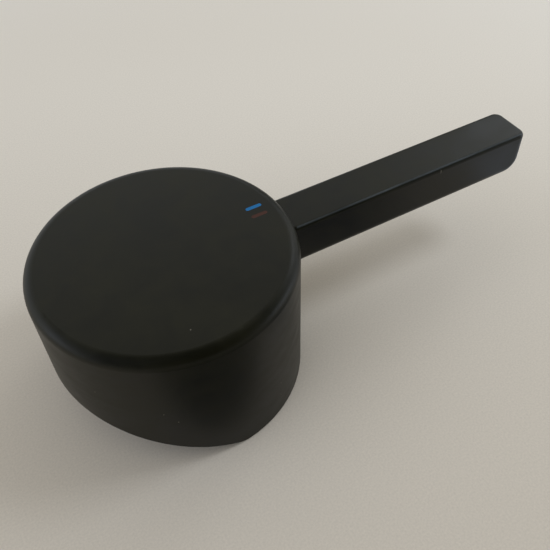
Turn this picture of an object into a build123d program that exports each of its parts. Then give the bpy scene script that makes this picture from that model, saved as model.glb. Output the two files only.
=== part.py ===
# Lever handle of a single-lever mixer tap: die-cast hood and bar, set screw, plug and index marks.
# Millimetres. Z runs up the hood's axis and X out along the bar, from the stem socket's mouth.
import os
from math import cos, radians, sin, tan

from build123d import *

# Hood
hood_diameter = 50.0
hood_height = 32.0  # from the level half of the rim to the top
hood_wall = 2.6
roof_thickness = 3.0
top_edge_radius = 2.1
roof_corner_radius = 1.6  # inside, between wall and roof

# Rim: level under the bar, slanted on the other side so that the lever can be tipped up
rim_slant = 25.5  # degrees
rim_knee = 1.8  # where the slant starts, measured from the axis towards the bar
rim_knee_radius = 6.0
rim_edge_chamfer = 0.3

# Bar
bar_width = 9.8
bar_height = 10.1
bar_projection = 58.9  # from the hood's side to the bar's end
bar_drop = 3.2  # from the hood's top to the bar's top
bar_edge_radius = 0.9  # round the bar's top
bar_under_radius = 2.0  # along the underside and up the corners of the end
bar_end_radius = 3.9  # where the underside turns up into the end
bar_root_radius = 0.4  # inside corner where the bar leaves the hood

# Boss and socket for the cartridge's square stem
stem_width = 8.0
stem_clearance = 0.05
socket_depth = 15.0
socket_cover = 9.0  # metal from the socket's floor to the hood's top
socket_lead_in = 0.6
boss_wall = 3.2
boss_corner_radius = 2.5

# Gusset ribs from the boss to the wall
rib_thickness = 2.0
rib_angles = (90.0, 180.0, 270.0)
rib_depth_at_boss = 15.0
rib_depth_at_wall = 6.0

# Set screw with a hexagon socket and a cup point
screw_diameter = 5.0
screw_length = 8.0
screw_chamfer = 0.5
screw_back_off = 0.3  # from the socket's wall to the screw's tip
key_width = 2.5
key_depth = 2.8
cup_diameter = 2.5
cup_depth = 0.7
thread_clearance = 0.05
thread_length = 9.0

# Hole for the key, the web around it, and the plug that closes it
access_clearance = 0.7  # lets the screw through
access_below_bar = 1.5  # from the bar's underside to the edge of the hole
web_wall = 2.0
plug_clearance = 0.05
plug_length = 5.0
plug_wall = 1.2
plug_recess = 0.1  # below the hood's side
plug_edge_radius = 0.25

# Index marks in the hood's top
mark_length = 3.3
mark_width = 0.8
mark_depth = 0.25
mark_inset = 5.4  # from the hood's side to the middle of a mark
mark_spacing = 2.4
mark_offset = 0.5  # the pair stands this far to the cold side of the bar's middle

# Heights and distances that follow from those sizes
hood_radius = hood_diameter / 2
inner_radius = hood_radius - hood_wall
wall_middle = hood_radius - hood_wall / 2
top_z = socket_depth + socket_cover
rim_z = top_z - hood_height
roof_z = top_z - roof_thickness
roof_middle = top_z - roof_thickness / 2
slant_reach = hood_radius + rim_knee
slant_rise = slant_reach * tan(radians(rim_slant))
bar_bottom_z = top_z - bar_drop - bar_height
bar_end = hood_radius + bar_projection
socket_width = stem_width + 2 * stem_clearance
boss_width = socket_width + 2 * boss_wall
tapped_radius = screw_diameter / 2 + thread_clearance
access_radius = screw_diameter / 2 + access_clearance
web_radius = access_radius + web_wall
screw_z = bar_bottom_z - access_below_bar - access_radius
screw_tip = socket_width / 2 + screw_back_off
thread_end = socket_width / 2 + thread_length
plug_radius = access_radius - plug_clearance
mark_reach = hood_radius - mark_inset

rim_plane = Plane.XY.offset(rim_z)
top_plane = Plane.XY.offset(top_z)
screw_plane = Plane(origin=(0, 0, screw_z), x_dir=(0, 1, 0), z_dir=(1, 0, 0))
plug_plane = screw_plane.offset(hood_radius - plug_length)
cold_mark_place = (mark_reach, mark_offset + mark_spacing / 2)
hot_mark_place = (mark_reach, mark_offset - mark_spacing / 2)

# Hood and bar, cast in one piece
with BuildPart() as lever_casting:
    # Square bar running in to the hood's axis, softer below and at its end than above
    with BuildSketch(Plane.XZ) as bar_side:
        with Locations((0, bar_bottom_z)):
            Rectangle(bar_end, bar_height, align=(Align.MIN, Align.MIN))
        fillet(bar_side.vertices().group_by(Axis.X)[-1].sort_by(Axis.Y)[0], bar_end_radius)
    extrude(amount=bar_width / 2, both=True)
    end_corners = edges().filter_by(Axis.Z).group_by(Axis.X)[-1]
    fillet(end_corners, bar_under_radius)  # runs on round the end and along the underside
    top_edges = faces().sort_by(Axis.Z)[-1].edges()
    fillet(top_edges.filter_by(lambda edge: edge.center().X > 0), bar_edge_radius)

    # Round hood, with a small inside corner all round the bar and a soft top edge
    with BuildSketch(rim_plane):
        Circle(hood_radius)
    extrude(amount=hood_height)
    fillet(edges(Select.NEW), bar_root_radius)
    fillet(faces().sort_by(Axis.Z)[-1].edges(), top_edge_radius)

    # Slanted half of the rim, with a rounded knee, and the rim's outer edge taken off all round
    with BuildSketch(Plane.XZ):
        with BuildLine():
            Polyline(
                (rim_knee, rim_z),
                (rim_knee - slant_reach, rim_z),
                (rim_knee - slant_reach, rim_z + slant_rise),
                close=True,
            )
        make_face()
    extrude(amount=hood_radius, both=True, mode=Mode.SUBTRACT)
    fillet(edges().filter_by(Axis.Y).sort_by(Axis.Z)[0], rim_knee_radius)
    rim_faces = faces().sort_by(Axis.Z)[:3]
    chamfer(rim_faces.edges().filter_by(GeomType.LINE, reverse=True), rim_edge_chamfer)

    # Hollow under the roof
    with BuildSketch(Plane.XZ) as hollow_profile:
        with Locations((0, rim_z)):
            Rectangle(inner_radius, roof_z - rim_z, align=(Align.MIN, Align.MIN))
        fillet(hollow_profile.vertices().group_by(Axis.X)[-1].sort_by(Axis.Y)[-1], roof_corner_radius)
    revolve(axis=Axis.Z, mode=Mode.SUBTRACT)

    # Boss around the stem socket
    with BuildSketch():
        RectangleRounded(boss_width, boss_width, boss_corner_radius)
    extrude(amount=roof_middle)

    # Web that carries the set screw from the wall to the boss
    with BuildSketch(screw_plane):
        Circle(web_radius)
        Rectangle(2 * web_radius, roof_middle - screw_z, align=(Align.CENTER, Align.MIN))
    extrude(amount=wall_middle)

    # Gusset ribs on the other three sides
    for angle in rib_angles:
        outward = (cos(radians(angle)), sin(radians(angle)), 0)
        across = (sin(radians(angle)), -cos(radians(angle)), 0)
        with BuildSketch(Plane(origin=(0, 0, 0), x_dir=outward, z_dir=across)):
            with BuildLine():
                Polyline(
                    (0, roof_z - rib_depth_at_boss),
                    (boss_width / 2, roof_z - rib_depth_at_boss),
                    (wall_middle, roof_z - rib_depth_at_wall),
                    (wall_middle, roof_middle),
                    (0, roof_middle),
                    close=True,
                )
            make_face()
        extrude(amount=rib_thickness / 2, both=True)

    # Square socket with a lead-in round its mouth
    with BuildSketch():
        Rectangle(socket_width, socket_width)
    extrude(amount=socket_depth, mode=Mode.SUBTRACT)
    mouth_edges = edges().filter_by(GeomType.LINE).filter_by_position(Axis.Z, 0, 0)
    chamfer(mouth_edges.sort_by_distance((0, 0, 0))[:4], socket_lead_in)

    # Hole for the screw and its key, from the hood's side to the socket
    with Locations(screw_plane.offset(hood_radius)):
        CounterBoreHole(
            radius=tapped_radius,
            counter_bore_radius=access_radius,
            counter_bore_depth=hood_radius - thread_end,
            depth=hood_radius,
        )

    # Slots for the index marks
    with BuildSketch(top_plane):
        with Locations(cold_mark_place, hot_mark_place):
            SlotOverall(mark_length, mark_width)
    extrude(amount=-mark_depth, mode=Mode.SUBTRACT)

# Enamel in the slot on the cold side
with BuildPart() as cold_mark:
    with BuildSketch(top_plane):
        with Locations(cold_mark_place):
            SlotOverall(mark_length, mark_width)
    extrude(amount=-mark_depth)

# Enamel in the slot on the hot side
with BuildPart() as hot_mark:
    with BuildSketch(top_plane):
        with Locations(hot_mark_place):
            SlotOverall(mark_length, mark_width)
    extrude(amount=-mark_depth)

# Set screw, backed off so that its tip stops just short of the socket
with BuildPart() as grub_screw:
    with BuildSketch(screw_plane.offset(screw_tip)):
        Circle(screw_diameter / 2)
    extrude(amount=screw_length)
    chamfer(edges().filter_by(GeomType.CIRCLE), screw_chamfer)
    with BuildSketch(screw_plane.offset(screw_tip + screw_length)):
        RegularPolygon(key_width / 2, 6, major_radius=False)
    extrude(amount=-key_depth, mode=Mode.SUBTRACT)
    with Locations(screw_plane.offset(screw_tip)):
        Cone(
            cup_diameter / 2, 0, cup_depth,
            align=(Align.CENTER, Align.CENTER, Align.MIN), mode=Mode.SUBTRACT,
        )

# Hollow push-in plug, its face curved to the hood's side
with BuildPart() as screw_plug:
    with BuildSketch(plug_plane):
        Circle(plug_radius)
    extrude(amount=plug_length)
    with BuildSketch(rim_plane):
        Circle(hood_radius - plug_recess)
    extrude(amount=hood_height, mode=Mode.INTERSECT)
    fillet(faces().sort_by(Axis.X)[-1].edges(), plug_edge_radius)
    with BuildSketch(plug_plane):
        Circle(plug_radius - plug_wall)
    extrude(amount=plug_length - plug_recess - plug_wall, mode=Mode.SUBTRACT)

pieces = {
    "lever_casting": lever_casting,
    "cold_mark": cold_mark,
    "hot_mark": hot_mark,
    "grub_screw": grub_screw,
    "screw_plug": screw_plug,
}
os.makedirs("parts", exist_ok=True)
for name, piece in pieces.items():
    piece.part.label = name
    export_step(piece.part, f"parts/{name}.step")
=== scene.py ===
import bpy
import bmesh
from math import cos, pi, radians
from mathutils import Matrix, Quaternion, Vector


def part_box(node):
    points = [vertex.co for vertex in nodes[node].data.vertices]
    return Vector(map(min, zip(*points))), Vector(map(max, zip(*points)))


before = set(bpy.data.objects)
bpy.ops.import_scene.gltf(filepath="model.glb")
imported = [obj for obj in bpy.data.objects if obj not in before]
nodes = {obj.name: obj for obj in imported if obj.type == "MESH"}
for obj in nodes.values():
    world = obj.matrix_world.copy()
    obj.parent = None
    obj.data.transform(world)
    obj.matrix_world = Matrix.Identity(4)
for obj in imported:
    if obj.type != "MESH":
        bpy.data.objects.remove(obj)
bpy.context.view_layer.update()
scene = bpy.context.scene
mm = 0.001
print("frame loaded:", sorted(nodes))

# the handle rests on the level half of its rim
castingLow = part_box("lever_casting")[0]
rimHeight = castingLow.z


def hexColour(code):
    channels = [int(code[i:i + 2], 16) / 255 for i in (1, 3, 5)]
    linear = [c / 12.92 if c <= 0.04045 else ((c + 0.055) / 1.055) ** 2.4 for c in channels]
    return (*linear, 1.0)


def addNode(tree, kind, settings=None, links=None):
    node = tree.nodes.new(kind)
    for name, value in (settings or {}).items():
        if hasattr(node, str(name)):
            setattr(node, name, value)
        else:
            node.inputs[name].default_value = value
    for name, source in (links or {}).items():
        tree.links.new(source, node.inputs[name])
    return node


def newMaterial(name):
    material = bpy.data.materials.new(name)
    material.use_nodes = True
    material.node_tree.nodes.clear()
    return material, material.node_tree


def dress(nodeName, material):
    mesh = nodes[nodeName].data
    mesh.materials.clear()
    mesh.materials.append(material)


# Satin black lacquer sprayed on a zinc die-casting: almost no body colour, a broad soft sheen, a faint
# orange peel, handling smudges and a few dust grains. Inside the hood the spray thins out to bare zinc.
coat = {
    "black": "#0b0b02",
    "blackWorn": "#191809",
    # colour of the painted highlight along the bar's near upper edge
    "paintedHighlight": "#43484a",
    "dust": "#807b6f",
    "zinc": "#8a8c8d",
    "zincDark": "#65676a",
    "ior": 1.5,
    "specular": 0.23,
    "roughness": 0.36,
    "roughnessSmudge": 0.46,
    "zincRoughness": 0.55,
    "smudgeSize": 14 * mm,
    "smearSize": 6 * mm,
    "smearSquash": (1.0, 1.0, 2.6),  # wiped round the hood and along the bar
    "smudgeStart": 0.75,  # on the sum of smudge and smear
    "smudgeFull": 1.3,
    "peelSize": 0.55 * mm,
    "peelHeight": 0.0022 * mm,
    "grain": (0.13 * mm, 0.13 * mm, 0.13 * mm),
    "scratch": (0.07 * mm, 0.3 * mm, 0.75 * mm),
    "blemishEdge": 1.0,  # in the blemish's own radii
    "blemishCore": 0.5,
    "grainPlaces": (
        (-3.1 * mm, -19.0 * mm, 24.0 * mm),
        (-11.5 * mm, -22.2 * mm, 9.3 * mm),
        (-9.5 * mm, -23.1 * mm, 6.5 * mm),
        (11.5 * mm, -22.2 * mm, 1.4 * mm),
        (11.4 * mm, -22.3 * mm, -2.4 * mm),
        (-20.3 * mm, -14.6 * mm, 13.2 * mm),
    ),
    "scratchPlaces": ((60.2 * mm, -4.9 * mm, 20.1 * mm),),
    "highlightLine": (0.0, -4.4 * mm, 20.7 * mm),  # along the crown of the bar's near upper edge
    "highlightWidth": 0.36 * mm,
    "highlightStart": 25.6 * mm,
    "highlightFaintest": 0.5,  # the painted highlight is patchy, and this strong at least
    "highlightFaintAt": 0.3,
    "highlightFullAt": 0.6,
    "insideRadius": 22.45 * mm,
    "insideRoof": 21.05 * mm,
    "sprayFull": 6 * mm,  # the inside is black up to here above the rim, less the wander
    "sprayReach": 8 * mm,  # and bare this much higher
    "sprayWander": 8 * mm,
    "castGrain": 0.9 * mm,
}


def satinBlackLacquer():
    material, tree = newMaterial("satinBlackLacquerOnZinc")
    place = addNode(tree, "ShaderNodeTexCoord").outputs["Object"]
    axes = addNode(tree, "ShaderNodeSeparateXYZ", None, {"Vector": place})

    # handling smudges shift the gloss and the black a little
    smudge = addNode(tree, "ShaderNodeTexNoise",
                     {"Scale": 1 / coat["smudgeSize"], "Detail": 3.0, "Roughness": 0.55},
                     {"Vector": place})
    squashed = addNode(tree, "ShaderNodeVectorMath",
                       {"operation": "MULTIPLY", 1: coat["smearSquash"]}, {0: place})
    smear = addNode(tree, "ShaderNodeTexNoise",
                    {"Scale": 1 / coat["smearSize"], "Detail": 5.0, "Distortion": 0.6},
                    {"Vector": squashed.outputs["Vector"]})
    handled = addNode(tree, "ShaderNodeMath", {"operation": "ADD"},
                      {0: smudge.outputs["Fac"], 1: smear.outputs["Fac"]})
    smudgeMask = addNode(tree, "ShaderNodeMapRange",
                         {"From Min": coat["smudgeStart"], "From Max": coat["smudgeFull"]},
                         {"Value": handled.outputs[0]})
    blackTone = addNode(tree, "ShaderNodeMix",
                        {"data_type": "RGBA", 6: hexColour(coat["black"]), 7: hexColour(coat["blackWorn"])},
                        {0: smudgeMask.outputs["Result"]})
    coatGloss = addNode(tree, "ShaderNodeMapRange",
                        {"To Min": coat["roughness"], "To Max": coat["roughnessSmudge"]},
                        {"Value": smudgeMask.outputs["Result"]})

    # a few dust grains and a short scratch below the bar's edge
    blemishes = [(spot, coat["grain"]) for spot in coat["grainPlaces"]]
    blemishes += [(spot, coat["scratch"]) for spot in coat["scratchPlaces"]]
    nearest = None
    for spot, reach in blemishes:
        offset = addNode(tree, "ShaderNodeVectorMath", {"operation": "SUBTRACT", 1: spot}, {0: place})
        shaped = addNode(tree, "ShaderNodeVectorMath", {"operation": "DIVIDE", 1: reach},
                         {0: offset.outputs["Vector"]})
        length = addNode(tree, "ShaderNodeVectorMath", {"operation": "LENGTH"},
                         {0: shaped.outputs["Vector"]})
        away = length.outputs["Value"]
        if nearest:
            closer = addNode(tree, "ShaderNodeMath", {"operation": "MINIMUM"}, {0: nearest, 1: away})
            away = closer.outputs[0]
        nearest = away
    blemishMask = addNode(tree, "ShaderNodeMapRange",
                          {"interpolation_type": "SMOOTHSTEP", "From Min": coat["blemishEdge"],
                           "From Max": coat["blemishCore"]}, {"Value": nearest})
    dusty = addNode(tree, "ShaderNodeMix",
                    {"data_type": "RGBA", 7: hexColour(coat["dust"])},
                    {0: blemishMask.outputs["Result"], 6: blackTone.outputs[2]})

    # painted highlight: a thin paler cool line along the bar's near upper edge, standing for the reflection
    # of a light
    fromEdge = addNode(tree, "ShaderNodeVectorMath", {"operation": "SUBTRACT", 1: coat["highlightLine"]},
                       {0: place})
    across = addNode(tree, "ShaderNodeVectorMath", {"operation": "MULTIPLY", 1: (0, 1, 1)},
                     {0: fromEdge.outputs["Vector"]})
    edgeAway = addNode(tree, "ShaderNodeVectorMath", {"operation": "LENGTH"}, {0: across.outputs["Vector"]})
    edgeBand = addNode(tree, "ShaderNodeMapRange",
                       {"interpolation_type": "SMOOTHSTEP", "From Min": coat["highlightWidth"], "From Max": 0.0},
                       {"Value": edgeAway.outputs["Value"]})
    onBar = addNode(tree, "ShaderNodeMath", {"operation": "GREATER_THAN", 1: coat["highlightStart"]},
                    {0: axes.outputs["X"]})
    highlightPatches = addNode(tree, "ShaderNodeMapRange",
                       {"From Min": coat["highlightFaintAt"], "From Max": coat["highlightFullAt"],
                        "To Min": coat["highlightFaintest"]}, {"Value": smudge.outputs["Fac"]})
    edgeHighlight = addNode(tree, "ShaderNodeMath", {"operation": "MULTIPLY"},
                      {0: edgeBand.outputs["Result"], 1: highlightPatches.outputs["Result"]})
    paintedHighlightMask = addNode(tree, "ShaderNodeMath", {"operation": "MULTIPLY"},
                      {0: edgeHighlight.outputs[0], 1: onBar.outputs[0]})
    paintedHighlight = addNode(tree, "ShaderNodeMix", {"data_type": "RGBA", 7: hexColour(coat["paintedHighlight"])},
                     {0: paintedHighlightMask.outputs[0], 6: dusty.outputs[2]})

    # bare zinc deep inside the hood
    flat = addNode(tree, "ShaderNodeVectorMath", {"operation": "MULTIPLY", 1: (1, 1, 0)}, {0: place})
    radius = addNode(tree, "ShaderNodeVectorMath", {"operation": "LENGTH"}, {0: flat.outputs["Vector"]})
    inRadius = addNode(tree, "ShaderNodeMath", {"operation": "LESS_THAN", 1: coat["insideRadius"]},
                       {0: radius.outputs["Value"]})
    underRoof = addNode(tree, "ShaderNodeMath", {"operation": "LESS_THAN", 1: coat["insideRoof"]},
                        {0: axes.outputs["Z"]})
    inside = addNode(tree, "ShaderNodeMath", {"operation": "MULTIPLY"},
                     {0: inRadius.outputs[0], 1: underRoof.outputs[0]})
    wander = addNode(tree, "ShaderNodeMath", {"operation": "MULTIPLY_ADD", 1: coat["sprayWander"]},
                     {0: smudge.outputs["Fac"], 2: axes.outputs["Z"]})
    blackTo = rimHeight + coat["sprayFull"]
    thinning = addNode(tree, "ShaderNodeMapRange",
                       {"interpolation_type": "SMOOTHSTEP", "From Min": blackTo,
                        "From Max": blackTo + coat["sprayReach"]}, {"Value": wander.outputs[0]})
    bare = addNode(tree, "ShaderNodeMath", {"operation": "MULTIPLY"},
                   {0: inside.outputs[0], 1: thinning.outputs["Result"]})
    castGrain = addNode(tree, "ShaderNodeTexNoise",
                        {"Scale": 1 / coat["castGrain"], "Detail": 2.0}, {"Vector": place})
    zincTone = addNode(tree, "ShaderNodeMix",
                       {"data_type": "RGBA", 6: hexColour(coat["zincDark"]), 7: hexColour(coat["zinc"])},
                       {0: castGrain.outputs["Fac"]})
    colour = addNode(tree, "ShaderNodeMix", {"data_type": "RGBA"},
                     {0: bare.outputs[0], 6: paintedHighlight.outputs[2], 7: zincTone.outputs[2]})
    gloss = addNode(tree, "ShaderNodeMix", {"data_type": "FLOAT", 3: coat["zincRoughness"]},
                    {0: bare.outputs[0], 2: coatGloss.outputs["Result"]})

    # orange peel of the sprayed coat
    peel = addNode(tree, "ShaderNodeTexNoise", {"Scale": 1 / coat["peelSize"], "Detail": 1.0},
                   {"Vector": place})
    bump = addNode(tree, "ShaderNodeBump", {"Strength": 1.0, "Distance": coat["peelHeight"]},
                   {"Height": peel.outputs["Fac"]})
    shader = addNode(tree, "ShaderNodeBsdfPrincipled",
                     {"IOR": coat["ior"], "Specular IOR Level": coat["specular"]},
                     {"Base Color": colour.outputs[2], "Metallic": bare.outputs[0],
                      "Roughness": gloss.outputs[0], "Normal": bump.outputs["Normal"]})
    addNode(tree, "ShaderNodeOutputMaterial", None, {"Surface": shader.outputs["BSDF"]})
    return material


# Stoving enamel run into a shallow slot: flat colour with slight cloudiness, half gloss.
enamel = {
    "blue": ("#146ba3", "#115f92"),
    "red": ("#47261b", "#3b2018"),
    "cloudSize": 0.7 * mm,
    "ior": 1.5,
    "specular": 0.2,
    "roughness": 0.42,
}


def stovingEnamel(name, tones):
    material, tree = newMaterial(name)
    place = addNode(tree, "ShaderNodeTexCoord").outputs["Object"]
    cloud = addNode(tree, "ShaderNodeTexNoise", {"Scale": 1 / enamel["cloudSize"]}, {"Vector": place})
    colour = addNode(tree, "ShaderNodeMix",
                     {"data_type": "RGBA", 6: hexColour(tones[0]), 7: hexColour(tones[1])},
                     {0: cloud.outputs["Fac"]})
    shader = addNode(tree, "ShaderNodeBsdfPrincipled",
                     {"Roughness": enamel["roughness"], "IOR": enamel["ior"],
                      "Specular IOR Level": enamel["specular"]}, {"Base Color": colour.outputs[2]})
    addNode(tree, "ShaderNodeOutputMaterial", None, {"Surface": shader.outputs["BSDF"]})
    return material


# Stainless steel, turned and cut: bright grey metal with the tool's rings, drawn coarse enough to show.
steel = {
    "light": "#b8b6b1",
    "dark": "#8f8d89",
    "ringPitch": 0.25 * mm,
    "ringWobble": 1.5,
    "roughness": 0.32,
}


def turnedSteel():
    material, tree = newMaterial("turnedStainlessSteel")
    place = addNode(tree, "ShaderNodeTexCoord").outputs["Object"]
    rings = addNode(tree, "ShaderNodeTexWave",
                    {"Scale": 1 / (steel["ringPitch"] * 2 * pi), "Distortion": steel["ringWobble"]},
                    {"Vector": place})
    colour = addNode(tree, "ShaderNodeMix",
                     {"data_type": "RGBA", 6: hexColour(steel["dark"]), 7: hexColour(steel["light"])},
                     {0: rings.outputs["Fac"]})
    shader = addNode(tree, "ShaderNodeBsdfPrincipled", {"Metallic": 1.0, "Roughness": steel["roughness"]},
                     {"Base Color": colour.outputs[2]})
    addNode(tree, "ShaderNodeOutputMaterial", None, {"Surface": shader.outputs["BSDF"]})
    return material


# Moulded polypropylene: matt black with the spark grain of the mould, drawn coarse enough to show.
plug = {
    "black": "#111110",
    "grey": "#181817",
    "grainSize": 0.18 * mm,
    "grainHeight": 0.006 * mm,
    "ior": 1.49,
    "roughness": 0.55,
}


def mouldedPlastic():
    material, tree = newMaterial("mouldedBlackPolypropylene")
    place = addNode(tree, "ShaderNodeTexCoord").outputs["Object"]
    grain = addNode(tree, "ShaderNodeTexNoise", {"Scale": 1 / plug["grainSize"], "Detail": 1.0},
                    {"Vector": place})
    colour = addNode(tree, "ShaderNodeMix",
                     {"data_type": "RGBA", 6: hexColour(plug["black"]), 7: hexColour(plug["grey"])},
                     {0: grain.outputs["Fac"]})
    bump = addNode(tree, "ShaderNodeBump", {"Strength": 1.0, "Distance": plug["grainHeight"]},
                   {"Height": grain.outputs["Fac"]})
    shader = addNode(tree, "ShaderNodeBsdfPrincipled", {"Roughness": plug["roughness"], "IOR": plug["ior"]},
                     {"Base Color": colour.outputs[2], "Normal": bump.outputs["Normal"]})
    addNode(tree, "ShaderNodeOutputMaterial", None, {"Surface": shader.outputs["BSDF"]})
    return material


dress("lever_casting", satinBlackLacquer())
dress("cold_mark", stovingEnamel("blueStovingEnamel", enamel["blue"]))
dress("hot_mark", stovingEnamel("redStovingEnamel", enamel["red"]))
dress("grub_screw", turnedSteel())
dress("screw_plug", mouldedPlastic())
print("materials on", len(nodes), "pieces")

# Plain pale floor under the rim, in matt paint with fine flecks: painted darker on the near side and
# lighter on the far side as painted shade, and fading into the backdrop far away.
backdropPale = "#f1f5f8"
floorSettings = {
    "halfWidth": 6.0,
    "far": "#e6dfd2",
    "near": "#cec5b6",
    "nearEdge": -60 * mm,
    "farEdge": 120 * mm,
    "fadeAlong": (0.45, 0.89, 0.0),
    "fleckSize": 0.4 * mm,
    "fleckDark": 0.86,
    "fleckLight": 1.14,
    "roughness": 0.9,
    "specular": 0.1,
    "blendFrom": 0.12,
    "blendTo": 0.5,
}


def seenOrMirrored(tree):
    rays = addNode(tree, "ShaderNodeLightPath")
    mirrored = addNode(tree, "ShaderNodeMath", {"operation": "MAXIMUM"},
                       {0: rays.outputs["Is Glossy Ray"], 1: rays.outputs["Is Transmission Ray"]})
    return addNode(tree, "ShaderNodeMath", {"operation": "MAXIMUM"},
                   {0: rays.outputs["Is Camera Ray"], 1: mirrored.outputs[0]}).outputs[0]


def paleFloor():
    mesh = bmesh.new()
    bmesh.ops.create_grid(mesh, x_segments=1, y_segments=1, size=floorSettings["halfWidth"])
    bmesh.ops.translate(mesh, verts=mesh.verts, vec=(0, 0, rimHeight))
    data = bpy.data.meshes.new("floor")
    mesh.to_mesh(data)
    mesh.free()
    floor = bpy.data.objects.new("floor", data)
    scene.collection.objects.link(floor)
    material, tree = newMaterial("paleMattPaint")
    place = addNode(tree, "ShaderNodeTexCoord").outputs["Object"]
    # painted shade: the paint runs from darker on the near side to lighter on the far side
    along = addNode(tree, "ShaderNodeVectorMath",
                    {"operation": "DOT_PRODUCT", 1: floorSettings["fadeAlong"]}, {0: place})
    fade = addNode(tree, "ShaderNodeMapRange",
                   {"interpolation_type": "SMOOTHSTEP", "From Min": floorSettings["nearEdge"],
                    "From Max": floorSettings["farEdge"]}, {"Value": along.outputs["Value"]})
    colour = addNode(tree, "ShaderNodeMix",
                     {"data_type": "RGBA", 6: hexColour(floorSettings["near"]),
                      7: hexColour(floorSettings["far"])}, {0: fade.outputs["Result"]})
    fleck = addNode(tree, "ShaderNodeTexNoise", {"Scale": 1 / floorSettings["fleckSize"], "Detail": 4.0},
                    {"Vector": place})
    fleckTone = addNode(tree, "ShaderNodeMapRange",
                        {"To Min": floorSettings["fleckDark"], "To Max": floorSettings["fleckLight"]},
                        {"Value": fleck.outputs["Fac"]})
    flecked = addNode(tree, "ShaderNodeVectorMath", {"operation": "SCALE"},
                      {0: colour.outputs[2], "Scale": fleckTone.outputs["Result"]})
    shader = addNode(tree, "ShaderNodeBsdfPrincipled",
                     {"Roughness": floorSettings["roughness"],
                      "Specular IOR Level": floorSettings["specular"]},
                     {"Base Color": flecked.outputs["Vector"]})

    # far away the camera and mirrors see the backdrop's colour in place of the paint
    away = addNode(tree, "ShaderNodeVectorMath", {"operation": "LENGTH"}, {0: place})
    blend = addNode(tree, "ShaderNodeMapRange",
                    {"interpolation_type": "SMOOTHSTEP", "From Min": floorSettings["blendFrom"],
                     "From Max": floorSettings["blendTo"]}, {"Value": away.outputs["Value"]})
    blended = addNode(tree, "ShaderNodeMath", {"operation": "MULTIPLY"},
                      {0: blend.outputs["Result"], 1: seenOrMirrored(tree)})
    distance = addNode(tree, "ShaderNodeEmission", {"Color": hexColour(backdropPale), "Strength": 1.0})
    ground = addNode(tree, "ShaderNodeMixShader", None,
                     {0: blended.outputs[0], 1: shader.outputs["BSDF"], 2: distance.outputs["Emission"]})

    # clear from below, and clear again on the way out, so that the underside is seen in the light
    side = addNode(tree, "ShaderNodeNewGeometry")
    rays = addNode(tree, "ShaderNodeLightPath")
    fromBelow = addNode(tree, "ShaderNodeMath", {"operation": "MAXIMUM"},
                        {0: side.outputs["Backfacing"], 1: rays.outputs["Transparent Depth"]})
    clear = addNode(tree, "ShaderNodeBsdfTransparent")
    oneWay = addNode(tree, "ShaderNodeMixShader", None,
                     {0: fromBelow.outputs[0], 1: ground.outputs["Shader"], 2: clear.outputs["BSDF"]})
    addNode(tree, "ShaderNodeOutputMaterial", None, {"Surface": oneWay.outputs["Shader"]})
    data.materials.append(material)


paleFloor()
print("floor laid")

# Stage flags, seen in reflections alone: dark bowls over the near side and at the far right, dull discs on
# the floor before hood and bar that put painted shade of the floor into the handle's reflections, and a
# pale card past the bar's end that puts a painted reflection of light on the bar.
flags = {
    "bowlColour": "#3c3c3a",
    "bowlRadius": 0.6,
    "bowlSegments": 64,
    "bowlRings": 32,
    "bowls": {
        "flagOverNearSide": {"towards": (-0.22, -0.66, 0.72), "halfAngle": radians(66)},
        "flagFarRight": {"towards": (0.72, 0.68, 0.14), "halfAngle": radians(15)},
    },
    "discs": {
        # painted shade of the floor, seen only in reflections
        "flagBeforeHood": {"middle": (1 * mm, -71 * mm), "radius": 41 * mm, "colour": "#6f6e69"},
        "flagBeforeBar": {"middle": (52 * mm, -39 * mm), "radius": 21 * mm, "colour": "#666c78"},
        # painted reflection of light on the bar's end, seen only in reflections
        "cardPastBar": {"middle": (117 * mm, -18 * mm), "radius": 26 * mm, "colour": "#f6faff"},
    },
    "discSegments": 64,
    "discLift": 0.5 * mm,
}


def hangFlag(name, mesh, colour):
    material, tree = newMaterial(name + "MattCard")
    shader = addNode(tree, "ShaderNodeBsdfDiffuse", {"Color": hexColour(colour)})
    addNode(tree, "ShaderNodeOutputMaterial", None, {"Surface": shader.outputs["BSDF"]})
    data = bpy.data.meshes.new(name)
    mesh.to_mesh(data)
    mesh.free()
    data.materials.append(material)
    flag = bpy.data.objects.new(name, data)
    scene.collection.objects.link(flag)
    flag.visible_camera = False
    flag.visible_diffuse = False
    flag.visible_shadow = False


def stageFlags():
    for name, setting in flags["bowls"].items():
        bowl = bmesh.new()
        bmesh.ops.create_uvsphere(bowl, u_segments=flags["bowlSegments"], v_segments=flags["bowlRings"],
                                  radius=flags["bowlRadius"])
        cut = flags["bowlRadius"] * cos(setting["halfAngle"])
        bmesh.ops.bisect_plane(bowl, geom=bowl.verts[:] + bowl.edges[:] + bowl.faces[:],
                               plane_co=(0, 0, cut), plane_no=(0, 0, 1), clear_inner=True)
        turn = Vector(setting["towards"]).to_track_quat("Z", "Y").to_matrix()
        bmesh.ops.rotate(bowl, verts=bowl.verts, matrix=turn)
        hangFlag(name, bowl, flags["bowlColour"])

    discHeight = rimHeight + flags["discLift"]
    for name, setting in flags["discs"].items():
        disc = bmesh.new()
        bmesh.ops.create_circle(disc, cap_ends=True, segments=flags["discSegments"],
                                radius=setting["radius"])
        bmesh.ops.translate(disc, verts=disc.verts, vec=(*setting["middle"], discHeight))
        hangFlag(name, disc, setting["colour"])


stageFlags()
print("flags hung:", len(flags["bowls"]) + len(flags["discs"]))

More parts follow.
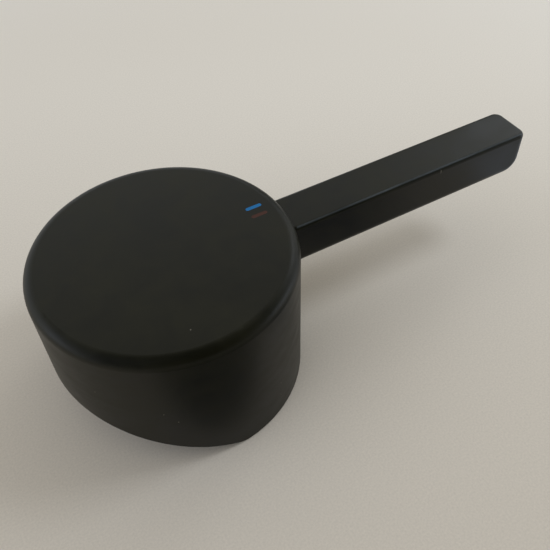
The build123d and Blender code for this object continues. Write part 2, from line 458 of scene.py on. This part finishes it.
# Four soft panels: a large one on the left and three small ones on the right, of which the steepest lights
# the handle without being mirrored in it.
lights = {
    "leftPanel": {
        "place": (-0.65, -0.03, 0.42), "size": 0.9, "power": 2.9, "colour": "#e4edff", "mirrored": True,
    },
    "rightPanel": {
        "place": (0.58, 0.3, 0.43), "size": 0.22, "power": 0.42, "colour": "#f2f8ff", "mirrored": True,
    },
    "lowPanel": {
        "place": (0.7, -0.3, 0.1), "size": 0.3, "power": 0.5, "colour": "#e4efff", "mirrored": True,
    },
    "steepPanel": {
        "place": (0.32, -0.07, 0.38), "size": 0.13, "power": 0.55, "colour": "#e8f1ff", "mirrored": False,
    },
}


def softLights():
    for name, setting in lights.items():
        lamp = bpy.data.lights.new(name, "AREA")
        lamp.shape = "SQUARE"
        lamp.size = setting["size"]
        lamp.energy = setting["power"]
        lamp.color = hexColour(setting["colour"])[:3]
        holder = bpy.data.objects.new(name, lamp)
        holder.location = setting["place"]
        holder.rotation_mode = "QUATERNION"
        holder.rotation_quaternion = (-Vector(setting["place"])).to_track_quat("-Z", "Y")
        holder.visible_glossy = setting["mirrored"]
        scene.collection.objects.link(holder)


softLights()

# Soft glow of the room, strongest overhead. Camera and mirrors see the pale backdrop, warmer high up.
room = {
    "light": "#fffdf8",
    "lightFrom": (0.1, 0.25, 0.963),
    "dimmest": 0.22,
    "strength": 0.7,
    "glowFrom": 0.2,  # cosines of the angle to lightFrom
    "glowFull": 1.0,
    "ceiling": "#d9d5c4",
    "warmFrom": 0.58,
    "warmTo": 0.82,
}


def softRoom():
    world = bpy.data.worlds.new("room")
    world.use_nodes = True
    tree = world.node_tree
    tree.nodes.clear()
    direction = addNode(tree, "ShaderNodeTexCoord").outputs["Generated"]
    facing = addNode(tree, "ShaderNodeVectorMath", {"operation": "DOT_PRODUCT", 1: room["lightFrom"]},
                     {0: direction})
    level = addNode(tree, "ShaderNodeMapRange",
                    {"interpolation_type": "SMOOTHSTEP", "From Min": room["glowFrom"],
                     "From Max": room["glowFull"], "To Min": room["dimmest"] * room["strength"],
                     "To Max": room["strength"]}, {"Value": facing.outputs["Value"]})
    glow = addNode(tree, "ShaderNodeBackground", {"Color": hexColour(room["light"])},
                   {"Strength": level.outputs["Result"]})
    axes = addNode(tree, "ShaderNodeSeparateXYZ", None, {"Vector": direction})
    rise = addNode(tree, "ShaderNodeMapRange", {"From Min": room["warmFrom"], "From Max": room["warmTo"]},
                   {"Value": axes.outputs["Z"]})
    walls = addNode(tree, "ShaderNodeMix",
                    {"data_type": "RGBA", 6: hexColour(backdropPale), 7: hexColour(room["ceiling"])},
                    {0: rise.outputs["Result"]})
    backdrop = addNode(tree, "ShaderNodeBackground", {"Strength": 1.0}, {"Color": walls.outputs[2]})
    surround = addNode(tree, "ShaderNodeMixShader", None,
                       {0: seenOrMirrored(tree), 1: glow.outputs[0], 2: backdrop.outputs[0]})
    addNode(tree, "ShaderNodeOutputWorld", None, {"Surface": surround.outputs["Shader"]})
    scene.world = world


softRoom()
print("lights placed:", len(lights), "panels and the room")

# Camera at the photograph's place, with its small tilt
cameraSettings = {
    "place": (-22.55 * mm, -85.33 * mm, 111.22 * mm),
    "aim": (28.15 * mm, 10.0 * mm, -8 * mm),
    "roll": radians(-2.06),
    "lens": 44.51,
    "sensor": 36,
    "clipStart": 5 * mm,
}


def photoCamera():
    data = bpy.data.cameras.new("photoCamera")
    data.sensor_width = cameraSettings["sensor"]
    data.lens = cameraSettings["lens"]
    data.clip_start = cameraSettings["clipStart"]
    camera = bpy.data.objects.new("photoCamera", data)
    place = Vector(cameraSettings["place"])
    camera.location = place
    camera.rotation_mode = "QUATERNION"
    look = (Vector(cameraSettings["aim"]) - place).to_track_quat("-Z", "Y")
    camera.rotation_quaternion = look @ Quaternion((0, 0, 1), cameraSettings["roll"])
    scene.collection.objects.link(camera)
    scene.camera = camera


photoCamera()
scene.view_settings.view_transform = "Standard"
print("camera placed")
